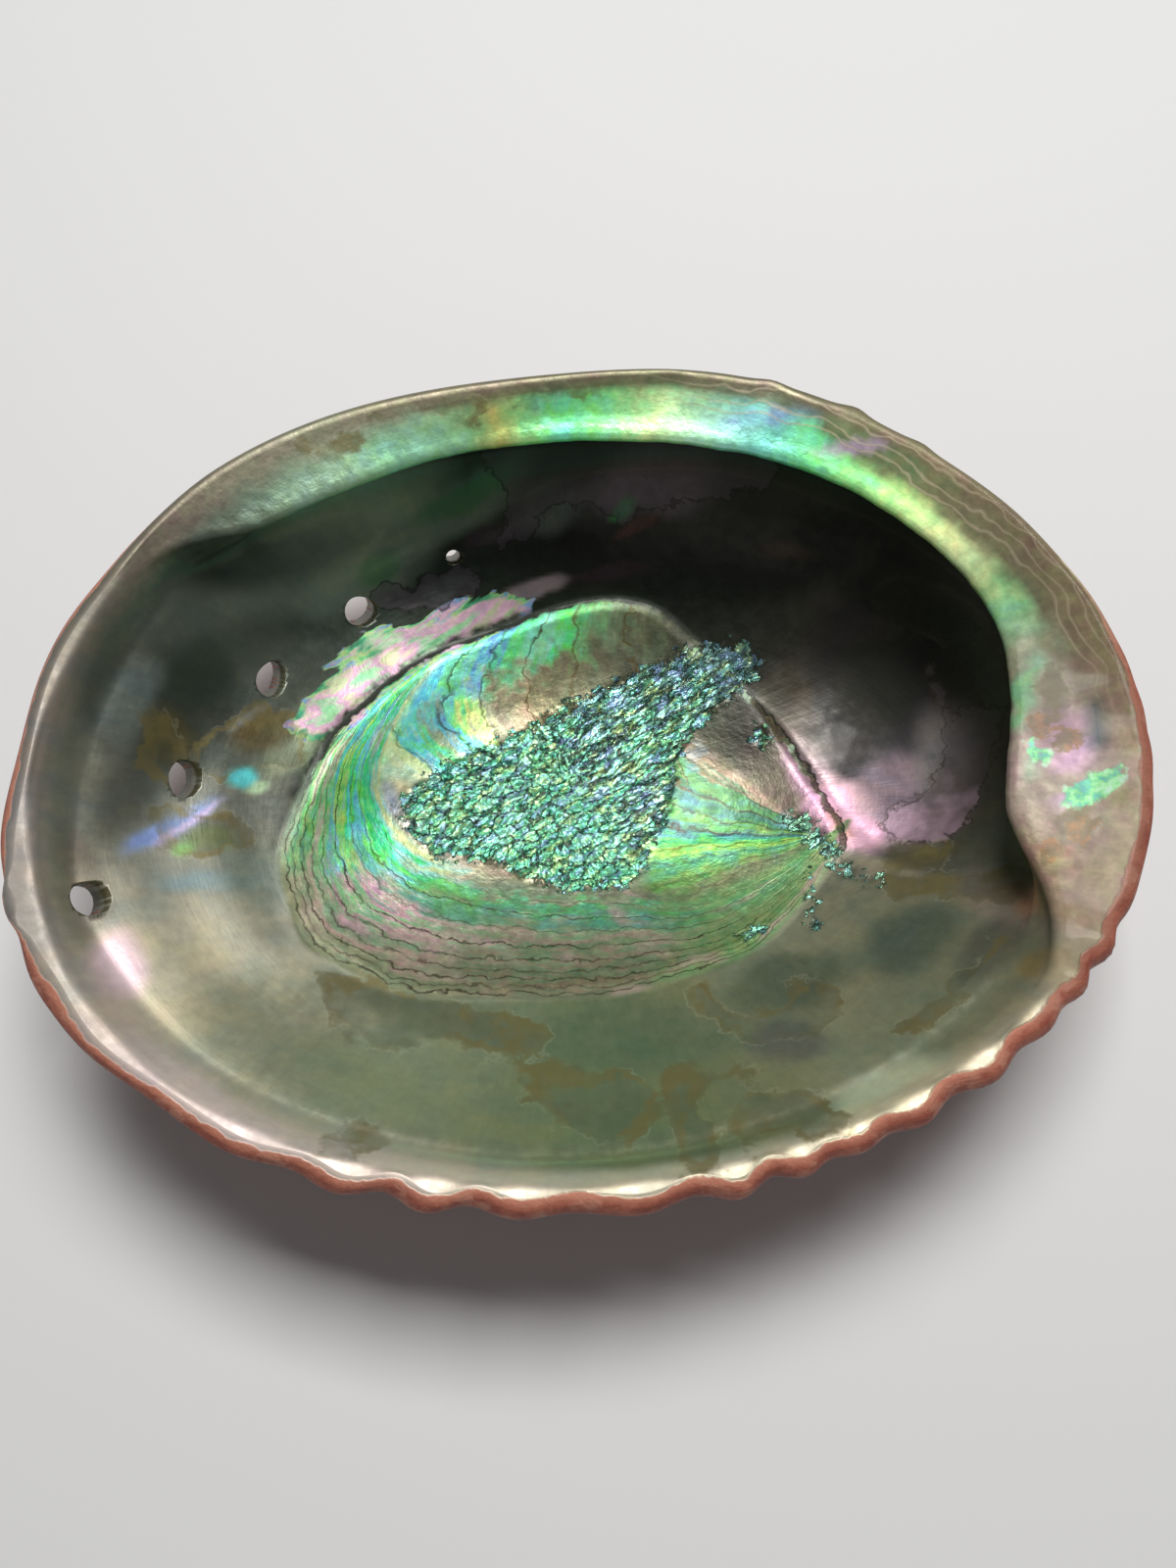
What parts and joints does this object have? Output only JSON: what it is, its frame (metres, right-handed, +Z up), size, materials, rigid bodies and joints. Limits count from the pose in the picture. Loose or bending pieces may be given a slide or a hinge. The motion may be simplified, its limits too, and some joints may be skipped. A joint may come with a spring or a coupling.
{
  "type": "abalone shell",
  "caption": "Ear-shaped sea shell, open and pearly inside, with a flat shelf along one side, a low spire and a curved row of breathing holes through its wall.",
  "frame": {"origin": "middle of the shell's box, on the surface that the shell lies on", "axes": "+X along the shell towards the spire, +Y towards the shelf and the holes' side, +Z up out of the cup"},
  "size_m": [0.1916, 0.1474, 0.0525],
  "materials": {
    "shell": "satin"
  },
  "bodies": {
    "root": {"shell": "shell"}
  },
  "joints": []
}
